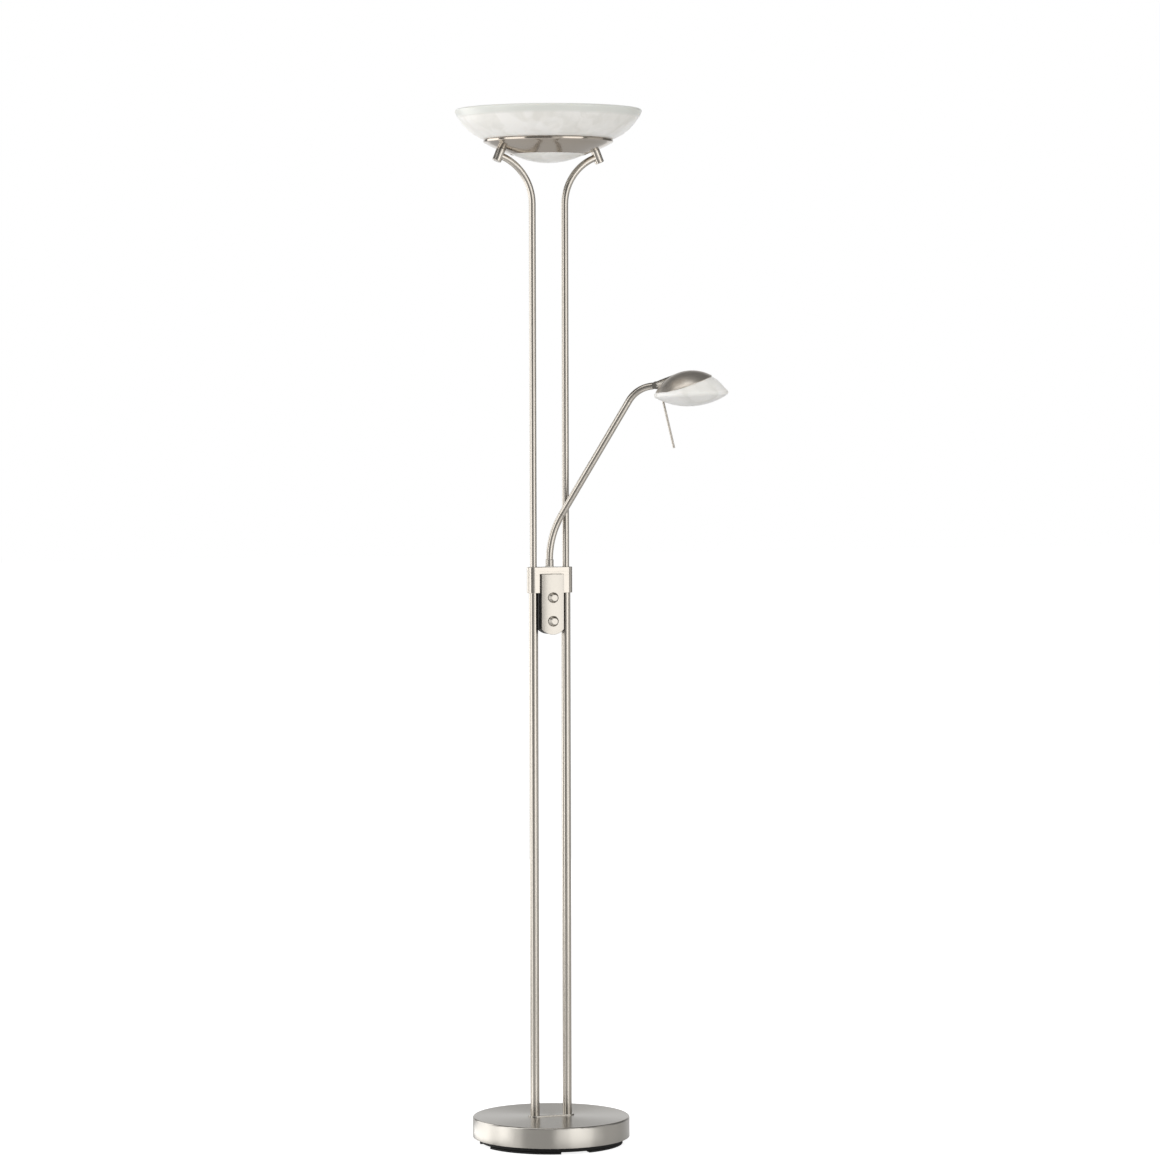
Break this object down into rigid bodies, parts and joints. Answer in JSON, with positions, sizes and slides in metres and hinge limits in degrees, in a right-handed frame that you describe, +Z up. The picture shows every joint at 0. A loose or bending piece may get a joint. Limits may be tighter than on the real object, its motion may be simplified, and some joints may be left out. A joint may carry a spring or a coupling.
{
  "type": "torchiere floor lamp with reading light",
  "caption": "Twin-pole floor lamp with an uplighter glass bowl, a heavy round base, a swinging reading arm with a tilting saucer head, and rotary dimmers.",
  "frame": {"origin": "on the floor, under the centre of the round base", "axes": "+Z up, +X from the left pole to the right pole, -Y to the front, where the dimmer knobs are"},
  "size_m": [0.4399, 0.3603, 1.8015],
  "materials": {
    "satin_nickel": "satin nickel plated steel",
    "nickel_casting": "satin nickel plated zinc casting",
    "zinc_steel": "zinc plated steel",
    "cast_ballast": "raw cast iron",
    "black_plastic": "moulded, fine texture",
    "white_plastic": "moulded",
    "pad_rubber": "matt",
    "circuit_board": "glass-fibre laminate",
    "alabaster_glass": "satin, faintly clouded white glass",
    "lamp_glass": "clear quartz",
    "steatite": "fired ceramic",
    "bright_aluminium": "bright rolled sheet",
    "brass": "turned brass"
  },
  "bodies": {
    "stand": {"foot_pads": "pad_rubber", "base_plate": "black_plastic", "base_weight": "cast_ballast", "base_cover": "satin_nickel", "plate_screws": "zinc_steel", "pole_studs": "zinc_steel", "pole_nuts": "zinc_steel", "pole_washers": "zinc_steel", "pole_plugs": "zinc_steel", "cord_gland": "black_plastic", "gland_nut": "black_plastic", "foot_plate": "satin_nickel", "lower_pole_left": "satin_nickel", "lower_pole_right": "satin_nickel", "upper_pole_left": "satin_nickel", "upper_pole_right": "satin_nickel", "pole_couplers": "zinc_steel", "collar": "nickel_casting", "collar_screws": "zinc_steel", "switch_housing": "black_plastic", "switch_cover": "nickel_casting", "dimmer_board": "circuit_board", "upper_dimmer": "white_plastic", "lower_dimmer": "white_plastic", "shade_bracket_left": "nickel_casting", "shade_bracket_right": "nickel_casting", "bracket_screws": "zinc_steel", "shade_dish": "satin_nickel", "shade_glass": "alabaster_glass", "lower_glass": "alabaster_glass", "lamp_bridge": "zinc_steel", "lamp_sockets": "steatite", "shade_lamp": "lamp_glass", "reflector": "bright_aluminium"},
    "arm": {"arm_spindle": "brass", "arm_washer": "white_plastic", "arm_sleeve": "nickel_casting", "spindle_nut": "zinc_steel", "arm_lower_tube": "satin_nickel", "arm_straight_tube": "satin_nickel", "arm_upper_tube": "satin_nickel", "arm_joiners": "brass", "tip_bush": "nickel_casting"},
    "swivel": {"knuckle_swivel": "nickel_casting", "swivel_clip": "zinc_steel"},
    "head": {"knuckle_pin": "zinc_steel", "head_neck": "nickel_casting", "head_cap": "satin_nickel", "head_glass": "alabaster_glass", "handle_rod": "satin_nickel", "rod_boss": "brass", "reading_socket": "steatite", "reading_lamp": "lamp_glass"},
    "upper_dial": {"upper_knob": "nickel_casting", "upper_shaft": "brass"},
    "lower_dial": {"lower_knob": "nickel_casting", "lower_shaft": "brass"}
  },
  "joints": [
    {"name": "arm_swivel", "type": "hinge", "parent": "stand", "child": "arm", "pos_m": [0, 0, 1], "axis": [0, 0, 1], "range_deg": [-120, 5]},
    {"name": "head_turn", "type": "hinge", "parent": "arm", "child": "swivel", "pos_m": [0.15213, -0.09506, 1.32144], "axis": [0.8376, -0.5234, 0.1564], "range_deg": [-90, 90]},
    {"name": "head_tilt", "type": "hinge", "parent": "swivel", "child": "head", "pos_m": [0.16135, -0.10082, 1.32316], "axis": [0.5299, 0.848, 0], "range_deg": [-30, 30]},
    {"name": "upper_dial_turn", "type": "hinge", "parent": "stand", "child": "upper_dial", "pos_m": [0, -0.02, 0.955], "axis": [0, 1, 0], "range_deg": [0, 270]},
    {"name": "lower_dial_turn", "type": "hinge", "parent": "stand", "child": "lower_dial", "pos_m": [0, -0.02, 0.914], "axis": [0, 1, 0], "range_deg": [0, 270]}
  ]
}
